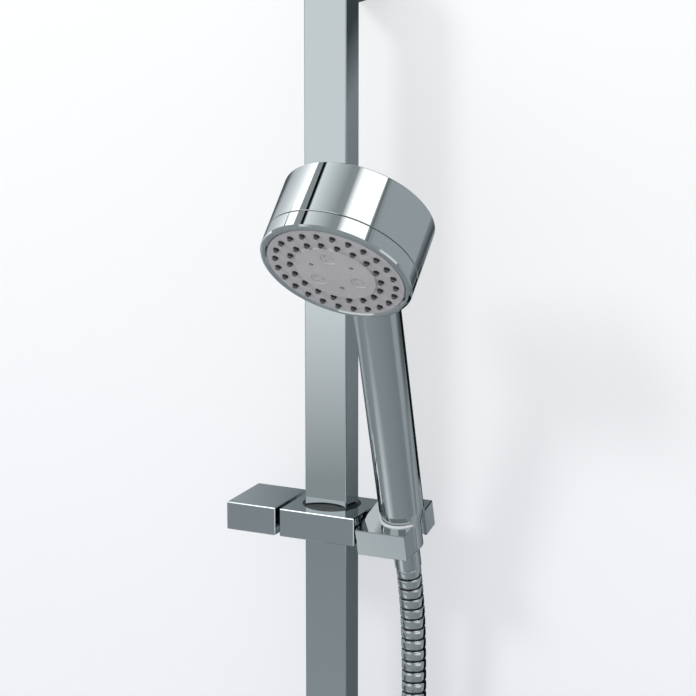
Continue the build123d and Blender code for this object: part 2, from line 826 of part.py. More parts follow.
# Hose end at the handset: the nut on the tail, the washer and the ferrule
nut_top = -foot_end - running_gap * 3
nut_bottom = nut_top - nut_length
nut_shoulder = nut_bottom + nut_floor
hose_nut = turned(
    (
        (thread_radius, nut_top),
        (nut_radius, nut_top),
        (nut_radius, nut_bottom + nut_chamfer),
        (nut_radius - nut_chamfer, nut_bottom),
        (ferrule_neck + running_gap, nut_bottom),
        (ferrule_neck + running_gap, nut_shoulder),
        (thread_radius, nut_shoulder),
    ),
    bore_point,
    fork_up,
)
save(hose_nut, "hose_nut")

washer_low = tail_end - washer_thickness
filter_washer = turned(
    (
        (waterway_radius - waterway_wall, washer_low),
        (thread_radius - free_gap, washer_low),
        (thread_radius - free_gap, tail_end - press_gap),
        (waterway_radius - waterway_wall, tail_end - press_gap),
    ),
    bore_point,
    fork_up,
)
save(filter_washer, "filter_washer")


def ferrule(origin, direction, flange_low, flange_high, shoulder, length):
    """A crimped ferrule: a flange kept by its nut, a neck and the body round the hose."""
    return turned(
        (
            (hose_bore - waterway_wall, flange_high),
            (thread_radius - free_gap, flange_high),
            (thread_radius - free_gap, flange_low),
            (ferrule_neck, flange_low),
            (ferrule_neck, shoulder),
            (ferrule_radius, shoulder - press_gap * 4),
            (ferrule_radius, shoulder - length),
            (hose_bore - waterway_wall, shoulder - length),
        ),
        origin,
        direction,
    )


ferrule_shoulder = nut_bottom - free_gap
hose_start = ferrule_shoulder - ferrule_length
save(
    ferrule(
        bore_point,
        fork_up,
        nut_shoulder + running_gap,
        washer_low - press_gap,
        ferrule_shoulder,
        ferrule_length,
    ),
    "hose_ferrule",
)


# Hose: the free stretch leaves the ferrule in line with it and settles to hang plumb
exit_point = bore_point + fork_up * hose_start
bend_point = exit_point - fork_up * straight_run
rear_y = bend_point.Y + hang_shift
hank_start_z = slider_top - hank_top
route = [
    exit_point,
    bend_point,
    Vector(exit_point.X, rear_y, hank_start_z + straight_run),
    Vector(exit_point.X, rear_y, hank_start_z),
]


def turn_at(before, corner, after):
    """The turn in degrees that a route makes at a corner."""
    return (corner - before).get_angle(after - corner)


route_radii = []
for before, corner, after in zip(route, route[1:], route[2:]):
    shorter = min((corner - before).length, (after - corner).length)
    half_turn = radians(turn_at(before, corner, after)) / 2
    route_radii.append(0.45 * shorter / tan(half_turn))
with BuildLine() as free_line:
    FilletPolyline(*route, radius=route_radii)
free_wire = free_line.wire()
free_length = free_wire.length
rib_count = round(free_length / rib_pitch)

# Each rib is four circles: out of the groove, along the crest and into the next groove
stations = []
for rib in range(rib_count):
    low = rib * free_length / rib_count
    high = (rib + 1) * free_length / rib_count
    groove = hose_radius - rib_groove
    stations.append((low, groove))
    stations.append((low + rib_ramp, hose_radius))
    stations.append((high - rib_ramp, hose_radius))
    stations.append((high - rib_ramp / 8, groove))
stations[-1] = (free_length, groove)
with BuildPart() as shower_hose:
    for distance, radius in stations:
        share = distance / free_length
        with BuildSketch(across(free_wire @ share, free_wire % share)):
            Circle(radius)
    loft(ruled=True)
    for distance, radius in stations:
        share = distance / free_length
        with BuildSketch(across(free_wire @ share, free_wire % share)):
            Circle(hose_bore)
    loft(ruled=True, mode=Mode.SUBTRACT)
save(shower_hose, "shower_hose")

# Hank: down, round, up with a step to the right, over and down again past the lower fold
fittings = 2 * (nut_length + ferrule_length)
end_drop = fold_radius + hose_radius + hank_end_gap
tube_length = hose_length - fittings
run_length = (tube_length - free_length - hank_lead - 2 * pi * fold_radius - end_drop) / 3
climb_height = run_length * climb_share
inner_x = exit_point.X
outer_x = inner_x + hank_step
front_y = rear_y - 2 * fold_radius
upper_z = hank_start_z - hank_lead
bottom_z = upper_z - run_length
hank_end = Vector(outer_x, rear_y, bottom_z - end_drop)
climb_start = Vector(inner_x, front_y, upper_z - climb_height)
climb_middle = Vector((inner_x + outer_x) / 2, front_y, upper_z - climb_height / 2)
climb_end = Vector(outer_x, front_y, upper_z)


def fold(x, height, start_y, finish_y, side):
    """A half turn square to the wall, over the top for side 1 and under for side -1."""
    crown = height + side * fold_radius
    ThreePointArc((x, start_y, height), (x, (start_y + finish_y) / 2, crown), (x, finish_y, height))


with BuildLine() as hank_line:
    Line((inner_x, rear_y, hank_start_z), (inner_x, rear_y, bottom_z))
    fold(inner_x, bottom_z, rear_y, front_y, -1)
    Line((inner_x, front_y, bottom_z), climb_start)
    climb = TangentArc(climb_start, climb_middle, tangent=(0, 0, 1))
    TangentArc(climb_middle, climb_end, tangent=climb % 1)
    fold(outer_x, upper_z, front_y, rear_y, 1)
    Line((outer_x, rear_y, upper_z), hank_end)
hank_wire = hank_line.wire()
with BuildPart() as hose_hank:
    with BuildSketch(across(hank_wire @ 0, hank_wire % 0)):
        Circle(hose_radius)
    sweep(path=hank_wire)
    with BuildSketch(across(hank_wire @ 0, hank_wire % 0)):
        Circle(hose_bore)
    sweep(path=hank_wire, mode=Mode.SUBTRACT)
save(hose_hank, "hose_hank")


def least_gap(wire, radius, spacing):
    """The least clear distance between far parts of one tube, on points along it."""
    count = int(wire.length / spacing)
    points = [wire @ (index / count) for index in range(count + 1)]
    apart = int(pi * fold_radius / spacing)
    distances = [
        (points[first] - points[second]).length
        for first in range(count + 1)
        for second in range(first + apart, count + 1)
    ]
    return min(distances) - 2 * radius


# Ties round the two rear runs
with BuildPart() as hose_ties:
    for share in tie_places:
        with BuildSketch(Plane.XY.offset(bottom_z + share * run_length)):
            with Locations(((inner_x + outer_x) / 2, rear_y)):
                SlotCenterToCenter(hank_step, 2 * (hose_radius + press_gap + tie_wall))
                SlotCenterToCenter(hank_step, 2 * (hose_radius + press_gap), mode=Mode.SUBTRACT)
        extrude(amount=tie_height)
save(hose_ties, "hose_ties")

# Far end of the hose: ferrule, washer and a six-sided nut, open below for the wall outlet
end_on = hank_wire % 1
end_shoulder = ferrule_length
end_nut_low = end_shoulder + free_gap
end_flange_low = end_nut_low + end_nut_floor + running_gap
end_flange_high = end_flange_low + flange_thickness
thread_start = end_flange_high + press_gap + washer_thickness + press_gap
relief_length = thread_start - end_nut_low - end_nut_floor
save(
    ferrule(hank_end, end_on, end_flange_low, end_flange_high, end_shoulder, ferrule_length),
    "end_ferrule",
)
with BuildPart() as end_nut:
    with BuildSketch(across(hank_end + end_on * end_nut_low, end_on)):
        RegularPolygon(end_nut_across / 2, 6, major_radius=False)
        Circle(ferrule_neck + running_gap, mode=Mode.SUBTRACT)
    extrude(amount=end_nut_floor)
    with BuildSketch(across(hank_end + end_on * (end_nut_low + end_nut_floor), end_on)):
        RegularPolygon(end_nut_across / 2, 6, major_radius=False)
        Circle(thread_radius + thread_relief, mode=Mode.SUBTRACT)
    extrude(amount=relief_length)
    with BuildSketch(across(hank_end + end_on * thread_start, end_on)):
        RegularPolygon(end_nut_across / 2, 6, major_radius=False)
        Circle(thread_radius, mode=Mode.SUBTRACT)
    extrude(amount=end_nut_low + end_nut_length - thread_start)
save(end_nut, "end_nut")

with BuildPart() as end_washer:
    with BuildSketch(across(hank_end + end_on * (end_flange_high + press_gap), end_on)):
        Circle(thread_radius - press_gap)
        Circle(waterway_radius - waterway_wall, mode=Mode.SUBTRACT)
    extrude(amount=washer_thickness)
save(end_washer, "end_washer")

section = pi * (hose_radius**2 - hose_bore**2)
hank_share = hose_hank.part.volume / (section * hank_wire.length)
print("Hose radii at its corners, mm:", [round(radius) for radius in route_radii])
print("Hose in the open, mm:", round(free_length, 1), "ribs:", rib_count)
print("Hank tube, mm:", round(hank_wire.length, 1), "runs:", round(run_length, 1))
print("Hank volume over section times length:", round(hank_share, 4))
print("Least gap of the hank to itself, mm:", round(least_gap(hank_wire, hose_radius, 5), 2))
print("Far end of the hose, mm:", [round(value, 3) for value in hank_end])
print("Middle of its thread, mm:", round(hank_end.Z - (thread_start + end_nut_low + end_nut_length) / 2, 3))
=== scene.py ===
from math import cos, pi, radians, sin

import bmesh
import bpy
from mathutils import Matrix, Vector


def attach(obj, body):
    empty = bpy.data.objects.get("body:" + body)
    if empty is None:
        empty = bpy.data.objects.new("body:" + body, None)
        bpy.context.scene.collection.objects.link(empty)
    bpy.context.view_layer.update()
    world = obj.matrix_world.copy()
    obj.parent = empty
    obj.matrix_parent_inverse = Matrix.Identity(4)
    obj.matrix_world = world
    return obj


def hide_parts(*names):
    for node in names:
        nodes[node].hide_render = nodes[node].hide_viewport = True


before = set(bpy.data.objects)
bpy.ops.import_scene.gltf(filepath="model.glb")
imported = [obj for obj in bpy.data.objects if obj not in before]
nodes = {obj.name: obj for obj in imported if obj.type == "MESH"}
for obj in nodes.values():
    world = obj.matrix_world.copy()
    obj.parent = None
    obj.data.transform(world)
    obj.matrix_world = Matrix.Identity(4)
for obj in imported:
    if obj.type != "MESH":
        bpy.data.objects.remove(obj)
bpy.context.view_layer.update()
scene = bpy.context.scene


# Small helpers
def hexColor(code):
    """sRGB hex to linear colour with alpha."""
    values = [int(code[i:i + 2], 16) / 255 for i in (1, 3, 5)]
    linear = [v / 12.92 if v <= 0.04045 else ((v + 0.055) / 1.055) ** 2.4 for v in values]
    return (*linear, 1.0)


def addNode(tree, kind, settings=None, inputs=None):
    """Add a node; an input is a plain value, or an output socket to link."""
    node = tree.nodes.new(kind)
    for name, value in (settings or {}).items():
        setattr(node, name, value)
    for name, value in (inputs or {}).items():
        if isinstance(value, bpy.types.NodeSocket):
            tree.links.new(value, node.inputs[name])
        else:
            node.inputs[name].default_value = value
    return node


def newMaterial(name):
    material = bpy.data.materials.new(name)
    material.use_nodes = True
    material.node_tree.nodes.clear()
    return material


def finishSurface(material, shader, socket="BSDF"):
    out = addNode(material.node_tree, "ShaderNodeOutputMaterial")
    material.node_tree.links.new(shader.outputs[socket], out.inputs["Surface"])
    return material


def ramp(tree, fac, stops):
    node = addNode(tree, "ShaderNodeValToRGB", inputs={"Fac": fac})
    elements = node.color_ramp.elements
    while len(elements) < len(stops):
        elements.new(0.5)
    for element, (place, value) in zip(elements, stops):
        element.position = place
        element.color = value if isinstance(value, tuple) else (value, value, value, 1.0)
    return node.outputs["Color"]


def newObject(name, mesh):
    obj = bpy.data.objects.new(name, mesh)
    scene.collection.objects.link(obj)
    return obj


# Materials
def platedMetal(name, color, roughness, spread, ripple):
    """Bright plating: a mirror finish that wiping and water leave slightly uneven."""
    material = newMaterial(name)
    tree = material.node_tree
    place = addNode(tree, "ShaderNodeTexCoord").outputs["Object"]
    wipe = addNode(tree, "ShaderNodeTexNoise", inputs={
        "Vector": place, "Scale": 38.0, "Detail": 4.0, "Roughness": 0.6})
    rough = addNode(tree, "ShaderNodeMapRange", inputs={
        "Value": wipe.outputs["Fac"], "From Min": 0.35, "From Max": 0.75,
        "To Min": roughness, "To Max": roughness + spread})
    peel = addNode(tree, "ShaderNodeTexNoise", inputs={
        "Vector": place, "Scale": 260.0, "Detail": 2.0})
    bump = addNode(tree, "ShaderNodeBump", inputs={
        "Height": peel.outputs["Fac"], "Strength": ripple, "Distance": 0.0002})
    shader = addNode(tree, "ShaderNodeBsdfPrincipled", inputs={
        "Base Color": hexColor(color), "Metallic": 1.0,
        "Roughness": rough.outputs["Result"], "Normal": bump.outputs["Normal"]})
    return finishSurface(material, shader)


def mouldedPlastic(name, dark, light, roughness, grain, depth):
    """Moulded plastic or rubber: a fine eroded tool texture with faint colour drift."""
    material = newMaterial(name)
    tree = material.node_tree
    place = addNode(tree, "ShaderNodeTexCoord").outputs["Object"]
    drift = addNode(tree, "ShaderNodeTexNoise", inputs={
        "Vector": place, "Scale": 55.0, "Detail": 3.0})
    tint = ramp(tree, drift.outputs["Fac"], [(0.3, hexColor(dark)), (0.7, hexColor(light))])
    tool = addNode(tree, "ShaderNodeTexNoise", inputs={
        "Vector": place, "Scale": grain, "Detail": 3.0})
    bump = addNode(tree, "ShaderNodeBump", inputs={
        "Height": tool.outputs["Fac"], "Strength": depth, "Distance": 0.0001})
    rough = addNode(tree, "ShaderNodeMapRange", inputs={
        "Value": tool.outputs["Fac"], "To Min": roughness - 0.06, "To Max": roughness + 0.06})
    shader = addNode(tree, "ShaderNodeBsdfPrincipled", inputs={
        "Base Color": tint, "Roughness": rough.outputs["Result"],
        "Normal": bump.outputs["Normal"]})
    return finishSurface(material, shader)


def nozzleRubberPaintedLight(name, side, tip):
    """Soft nozzles with painted light: sides painted dark as shade, and faces turned out of the head painted paler as
    if lit.
    """
    material = newMaterial(name)
    tree = material.node_tree
    coords = addNode(tree, "ShaderNodeTexCoord")
    # Painted light: the colour runs from the dark side tone to the pale tone as the face turns out of the head
    facing = addNode(tree, "ShaderNodeVectorMath", {"operation": "DOT_PRODUCT"}, {
        0: coords.outputs["Normal"], 1: (0.0, -0.7254, -0.6884)})
    flat = addNode(tree, "ShaderNodeMapRange", inputs={
        "Value": facing.outputs["Value"], "From Min": 0.6, "From Max": 0.95})
    tint = ramp(tree, flat.outputs["Result"], [(0.0, hexColor(side)), (1.0, hexColor(tip))])
    tool = addNode(tree, "ShaderNodeTexNoise", inputs={
        "Vector": coords.outputs["Object"], "Scale": 2600.0, "Detail": 3.0})
    bump = addNode(tree, "ShaderNodeBump", inputs={
        "Height": tool.outputs["Fac"], "Strength": 0.15, "Distance": 0.0001})
    shader = addNode(tree, "ShaderNodeBsdfPrincipled", inputs={
        "Base Color": tint, "Roughness": 0.3, "Normal": bump.outputs["Normal"]})
    return finishSurface(material, shader)


chromePlate = platedMetal("chrome_plated_brass", "#c2c8ca", 0.02, 0.02, 0.02)
chromeAbs = platedMetal("chrome_plated_abs", "#c4c9ca", 0.02, 0.02, 0.03)
hoseChrome = platedMetal("chrome_hose_strip", "#c6cacb", 0.04, 0.04, 0.03)
machinedBrass = platedMetal("machined_brass", "#c9a765", 0.22, 0.1, 0.2)
stainlessScrew = platedMetal("stainless_screw", "#b4b5b4", 0.2, 0.12, 0.2)
castAlloy = platedMetal("cast_alloy", "#a9abad", 0.4, 0.15, 0.6)
facePlastic = mouldedPlastic("grey_face_plastic", "#cac4c5", "#d1cbcc", 0.42, 2200.0, 0.25)
linerPlastic = mouldedPlastic("grey_liner_plastic", "#d8dcde", "#e0e3e4", 0.3, 1800.0, 0.2)
blackAcetal = mouldedPlastic("black_acetal", "#0d0e10", "#15161a", 0.35, 1500.0, 0.25)
# Nozzles: the dark sides are painted shade and the outward faces are painted light
nozzleSilicone = nozzleRubberPaintedLight("grey_nozzle_silicone", "#29292b", "#777376")
# Near-black for the hose's grooves: painted shade in the creases between the links
hoseSeamShade = mouldedPlastic("painted_shade_hose_seam", "#0c0d0e", "#141517", 0.45, 2400.0, 0.2)
sealRubber = mouldedPlastic("black_seal_rubber", "#141416", "#1c1c1f", 0.6, 2000.0, 0.3)

nodeMaterials = {
    chromePlate: [
        "rail_tube", "rail_top_cap", "rail_bottom_cap", "upper_bracket", "lower_bracket",
        "slider_body", "lock_knob", "holder_fork", "hose_nut", "hose_ferrule",
        "end_ferrule", "end_nut"],
    chromeAbs: ["handset_body", "spray_ring"],
    facePlastic: ["face_plate", "centre_disc"],
    linerPlastic: ["seat_liner"],
    blackAcetal: [
        "slider_collar", "brake_shoe", "knob_spacer", "pivot_washer", "manifold", "spreader",
        "hose_ties", "waterway_tube"],
    nozzleSilicone: ["nozzle_mat"],
    sealRubber: ["filter_washer", "end_washer", "port_seal"],
    machinedBrass: ["handset_tail", "clamp_spindle"],
    stainlessScrew: [
        "bracket_grub_screws", "rail_screws", "rail_nuts", "knob_grub_screw", "pivot_bolt",
        "pivot_spring", "spray_pivot_screw", "detent_ball", "detent_spring"],
    castAlloy: ["upper_wall_plate", "lower_wall_plate"],
}
for material, names in nodeMaterials.items():
    for name in names:
        for slot in nodes[name].material_slots:
            slot.material = material
print("materials on", sum(len(names) for names in nodeMaterials.values()), "CAD nodes")

# Camera at the photograph's place
cameraSettings = {
    "place": (0.8755, -1.9188, 0.2895),
    "right": (0.9068, 0.4215, 0.0003),
    "up": (-0.1051, 0.2255, 0.9686),
    "back": (0.4081, -0.8784, 0.2488),
    "lens": 166.5,
}
cameraData = bpy.data.cameras.new("camera")
cameraData.lens = cameraSettings["lens"]
cameraData.sensor_width = 36.0
cameraData.clip_end = 20.0
camera = newObject("camera", cameraData)
turn = Matrix([cameraSettings[key] for key in ("right", "up", "back")]).transposed()
camera.matrix_world = Matrix.Translation(cameraSettings["place"]) @ turn.to_4x4()
scene.camera = camera

# Hose: one line from the ferrule under the fork to the far ferrule
hose = {
    "radius": 0.00825,
    "ribs": 185,
    "sides": 40,
    "exit": (0.053, -0.053323, -0.382866),
    "corners": [(0.053, -0.045306, -0.411775), (0.053, -0.042606, -0.460), (0.053, -0.042606, -0.490)],
    "rearY": -0.042606,
    "topZ": -0.550,
    "runLength": 0.298014,
    "foldRadius": 0.0495,
    "step": 0.0175,
    "climb": 0.55,
    "endDrop": 0.05975,
    "foldPoints": 12,
}


def foldPoints(x, startY, finishY, height, side, count):
    """Control points of a half turn, on the circle's own tangent polygon."""
    radius = abs(finishY - startY) / 2
    middle = (startY + finishY) / 2
    turnStep = pi / count
    reach = radius / cos(turnStep / 2)
    away = 1 if startY > finishY else -1
    points = []
    for i in range(count):
        angle = turnStep * (i + 0.5)
        points.append((x, middle + away * reach * cos(angle), height + side * reach * sin(angle)))
    return points


def hoseControlPoints():
    innerX = hose["exit"][0]
    outerX = innerX + hose["step"]
    rearY = hose["rearY"]
    frontY = rearY - 2 * hose["foldRadius"]
    topZ = hose["topZ"]
    bottomZ = topZ - hose["runLength"]
    count = hose["foldPoints"]
    climbZ = topZ - hose["climb"] * hose["runLength"]
    climb = topZ - climbZ
    points = [hose["exit"], *hose["corners"]]
    points.append((innerX, rearY, topZ))
    points.append((innerX, rearY, bottomZ))
    points += foldPoints(innerX, rearY, frontY, bottomZ, -1, count)
    points.append((innerX, frontY, bottomZ))
    points.append((innerX, frontY, climbZ + 0.25 * climb))
    points.append((outerX, frontY, climbZ + 0.75 * climb))
    points.append((outerX, frontY, topZ))
    points += foldPoints(outerX, frontY, rearY, topZ, 1, count)
    points.append((outerX, rearY, topZ))
    points.append((outerX, rearY, bottomZ))
    points.append((outerX, rearY, bottomZ - hose["endDrop"]))
    return points


def nurbsLine(name, points, resolution):
    curve = bpy.data.curves.new(name, "CURVE")
    curve.dimensions = "3D"
    spline = curve.splines.new("NURBS")
    spline.points.add(len(points) - 1)
    for point, place in zip(spline.points, points):
        point.co = (*place, 1.0)
    spline.order_u = 3
    spline.use_endpoint_u = True
    spline.resolution_u = resolution
    return curve


def linePoints(curve):
    """The curve's own points, evenly read along its length, with their distances."""
    holder = newObject("hose_line", curve)
    bpy.context.view_layer.update()
    mesh = bpy.data.meshes.new_from_object(holder)
    points = [v.co.copy() for v in mesh.vertices]
    bpy.data.objects.remove(holder)
    bpy.data.meshes.remove(mesh)
    distances = [0.0]
    for a, b in zip(points, points[1:]):
        distances.append(distances[-1] + (b - a).length)
    return points, distances


def alongLine(points, distances, distance):
    """Place and direction at a distance along the line."""
    distance = min(max(distance, 0.0), distances[-1])
    low, high = 0, len(distances) - 1
    while high - low > 1:
        middle = (low + high) // 2
        if distances[middle] <= distance:
            low = middle
        else:
            high = middle
    span = distances[high] - distances[low]
    share = (distance - distances[low]) / span if span else 0.0
    place = points[low].lerp(points[high], share)
    before = points[max(low - 1, 0)]
    after = points[min(high + 1, len(points) - 1)]
    return place, (after - before).normalized()


# Each link: share of the pitch and how far the surface lies under the crest
linkProfile = [
    (0.000, 0.00120), (0.070, 0.00120), (0.080, 0.00070), (0.105, 0.00035), (0.145, 0.00012),
    (0.20, 0.0), (0.50, -0.00004), (0.80, 0.0), (0.86, 0.00012), (0.905, 0.00035),
    (0.930, 0.00070), (0.945, 0.00120),
]
# Rings that bound each groove; the faces between them take the near-black colour, painted shade in the groove
seamRings = (0, 1, 10, 11)


def ribbedHose(points, distances):
    bm = bmesh.new()
    length = distances[-1]
    pitch = length / hose["ribs"]
    rings = []
    for rib in range(hose["ribs"]):
        for share, under in linkProfile:
            place, ahead = alongLine(points, distances, (rib + share) * pitch)
            across = (Vector((1, 0, 0)) - ahead * ahead.x).normalized()
            upward = ahead.cross(across)
            radius = hose["radius"] - under
            ring = []
            for side in range(hose["sides"]):
                angle = 2 * pi * side / hose["sides"]
                ring.append(bm.verts.new(place + radius * (cos(angle) * across + sin(angle) * upward)))
            rings.append(ring)
    for index, (low, high) in enumerate(zip(rings, rings[1:])):
        inSeam = index % len(linkProfile) in seamRings
        for side in range(hose["sides"]):
            after = (side + 1) % hose["sides"]
            face = bm.faces.new((low[side], low[after], high[after], high[side]))
            face.material_index = 1 if inSeam else 0
    bm.faces.new(list(reversed(rings[0])))
    bm.faces.new(rings[-1])
    bmesh.ops.recalc_face_normals(bm, faces=bm.faces)
    for face in bm.faces:
        face.smooth = len(face.verts) == 4
    mesh = bpy.data.meshes.new("hose_ribbed")
    bm.to_mesh(mesh)
    bm.free()
    mesh.materials.append(hoseChrome)
    mesh.materials.append(hoseSeamShade)
    return newObject("hose_ribbed", mesh)


centreLine, centreDistances = linePoints(nurbsLine("hose_line", hoseControlPoints(), 10))
ribbed = ribbedHose(centreLine, centreDistances)
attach(ribbed, "hose")
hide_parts("shower_hose", "hose_hank")
print("hose", round(centreDistances[-1], 4), "m")

wall = {
    "left": -2.6,
    "right": 2.6,
    "top": 1.6,
    "face": -0.0004,
    "floor": -1.35,
    "front": -3.0,
    "cove": 0.25,
    "seen": "#fbfcfd",
    # Painted light: for the camera part of the wall glows, lighter at the top than at the foot
    "glowTop": "#ffffff",
    "glowFoot": "#f0f1f5",
    "glowShare": 0.55,
    # Colours only reflections see: a painted grey reflection of the room, darker towards the floor, and painted shade
    # as two dark leaning stripes near the kit, paler low down
    "mirrored": "#bcc2c4",
    "mirroredFloor": "#a4aaac",
    "paintedShadeBehind": "#5c6264",
    "paintedShadeBehindLow": "#989fa1",
    "lean": (1.0, 0.0, 0.42),
}


def wallMaterial():
    material = newMaterial("painted_plaster")
    tree = material.node_tree
    path = addNode(tree, "ShaderNodeLightPath")
    place = addNode(tree, "ShaderNodeTexCoord").outputs["Object"]
    split = addNode(tree, "ShaderNodeSeparateXYZ", inputs={"Vector": place})
    stipple = addNode(tree, "ShaderNodeTexNoise", inputs={
        "Vector": place, "Scale": 700.0, "Detail": 3.0})
    bump = addNode(tree, "ShaderNodeBump", inputs={
        "Height": stipple.outputs["Fac"], "Strength": 0.05, "Distance": 0.0002})
    # Painted shade: two dark stripes on the wall near the kit, leaning, seen only in reflections
    leaning = addNode(tree, "ShaderNodeVectorMath", {"operation": "DOT_PRODUCT"}, {
        0: place, 1: wall["lean"]})
    aside = addNode(tree, "ShaderNodeMapRange", inputs={
        "Value": leaning.outputs["Value"], "From Min": -0.363, "From Max": 0.337})
    shadeBands = ramp(tree, aside.outputs["Result"], [
        (0.16, 0.0), (0.245, 1.0), (0.35, 1.0), (0.41, 0.0),
        (0.53, 0.0), (0.56, 1.0), (0.59, 1.0), (0.68, 0.0)])
    low = addNode(tree, "ShaderNodeMapRange", inputs={
        "Value": split.outputs["Z"], "From Min": -0.22, "From Max": -0.31})
    paintedShadeBehind = ramp(tree, low.outputs["Result"], [
        (0.0, hexColor(wall["paintedShadeBehind"])), (1.0, hexColor(wall["paintedShadeBehindLow"]))])
    shade = addNode(tree, "ShaderNodeMix", {"data_type": "RGBA"}, {"Factor": shadeBands})
    shade.inputs[6].default_value = hexColor(wall["mirrored"])
    tree.links.new(paintedShadeBehind, shade.inputs[7])
    # Painted reflection: the room tone turns darker towards the floor
    down = addNode(tree, "ShaderNodeMapRange", inputs={
        "Value": split.outputs["Z"], "From Min": -0.5, "From Max": -0.9})
    room = addNode(tree, "ShaderNodeMix", {"data_type": "RGBA"}, {"Factor": down.outputs["Result"]})
    tree.links.new(shade.outputs[2], room.inputs[6])
    room.inputs[7].default_value = hexColor(wall["mirroredFloor"])
    color = addNode(tree, "ShaderNodeMix", {"data_type": "RGBA"}, {"Factor": path.outputs["Is Camera Ray"]})
    tree.links.new(room.outputs[2], color.inputs[6])
    color.inputs[7].default_value = hexColor(wall["seen"])
    paint = addNode(tree, "ShaderNodeBsdfDiffuse", inputs={
        "Color": color.outputs[2], "Normal": bump.outputs["Normal"]})
    # Painted light: the camera-seen glow is lighter at the top than at the foot
    height = addNode(tree, "ShaderNodeMapRange", inputs={
        "Value": split.outputs["Z"], "From Min": -0.5, "From Max": 0.0})
    tone = ramp(tree, height.outputs["Result"], [
        (0.0, hexColor(wall["glowFoot"])), (1.0, hexColor(wall["glowTop"]))])
    white = addNode(tree, "ShaderNodeEmission", inputs={"Color": tone, "Strength": 1.0})
    share = addNode(tree, "ShaderNodeMath", {"operation": "MULTIPLY"}, {
        0: path.outputs["Is Camera Ray"], 1: wall["glowShare"]})
    front = addNode(tree, "ShaderNodeMixShader", inputs={
        "Fac": share.outputs[0], 1: paint.outputs["BSDF"], 2: white.outputs["Emission"]})
    clear = addNode(tree, "ShaderNodeBsdfTransparent")
    side = addNode(tree, "ShaderNodeNewGeometry").outputs["Backfacing"]
    mix = addNode(tree, "ShaderNodeMixShader", inputs={
        "Fac": side, 1: front.outputs["Shader"], 2: clear.outputs["BSDF"]})
    return finishSurface(material, mix, "Shader")


def wallSweep():
    bm = bmesh.new()
    # The face lies a hair before the posts' ends, so that the two never share a plane
    face, cove = wall["face"], wall["cove"]
    profile = [(face, wall["top"]), (face, wall["floor"] + cove)]
    for i in range(1, 12):
        angle = i * pi / 24
        profile.append((face - cove * (1 - cos(angle)), wall["floor"] + cove * (1 - sin(angle))))
    profile.append((face - cove, wall["floor"]))
    profile.append((wall["front"], wall["floor"]))
    lefts = [bm.verts.new((wall["left"], y, z)) for y, z in profile]
    rights = [bm.verts.new((wall["right"], y, z)) for y, z in profile]
    for i in range(len(profile) - 1):
        # Wound so that every face looks at the room
        face = bm.faces.new((lefts[i], lefts[i + 1], rights[i + 1], rights[i]))
        face.smooth = True
    bm.normal_update()
    mesh = bpy.data.meshes.new("wall_sweep")
    bm.to_mesh(mesh)
    bm.free()
    mesh.materials.append(wallMaterial())
    return newObject("wall_sweep", mesh)


wallSweep()

# Reflection cards round the object. Azimuth 0 is straight in front and + is to the right,
# as the chrome sees them from the head; width and height are angles in degrees, and fade is
# the share of the card over which its light dies out at the left, right, bottom and top.
cards = {
    "ceiling_box": {
        "azimuth": 68.4, "elevation": 63, "distance": 3.0, "width": 38.7, "height": 40, "roll": -52,
        "fade": (0.23, 0.01, 0.01, 0.01), "light": 1.95, "color": "#ffffff"},
    "right_flag": {
        "azimuth": 91.5, "elevation": 45.5, "distance": 2.9, "width": 3.5, "height": 36, "roll": -45,
        "fade": (0.1, 0.6, 0.01, 0.01), "light": 1.0, "color": "#7d8486"},
    "upper_left": {
        "azimuth": -60, "elevation": 68, "distance": 3.0, "width": 36, "height": 56, "roll": 45,
        "fade": (0.01, 0.98, 0.05, 0.05), "light": 1.2, "color": "#f6fcfd"},
    "left_flag": {
        "azimuth": -85.3, "elevation": 51.6, "distance": 2.9, "width": 40, "height": 4.6, "roll": -31,
        "fade": (0.01, 0.01, 0.15, 0.15), "light": 1.0, "color": "#0b0c0d"},
    "high_window": {
        "azimuth": -46, "elevation": 57, "distance": 2.8, "width": 18, "height": 12, "roll": 0,
        "fade": (0.1, 0.1, 0.1, 0.1), "light": 3.0, "color": "#ffffff"},
    "right_window": {
        "azimuth": 70, "elevation": -13, "distance": 2.8, "width": 80, "height": 22, "roll": 0,
        "fade": (0.1, 0.1, 0.1, 0.1), "light": 1.0, "color": "#ffffff"},
    "rail_card": {
        "azimuth": -25, "elevation": 1.9, "distance": 3.0, "width": 50, "height": 46.2, "roll": 0,
        "fade": (0.1, 0.1, 0.125, 0.05), "light": 1.06, "color": "#f8fbfc"},
}
cardCentre = Vector((0.053, -0.15, -0.15))
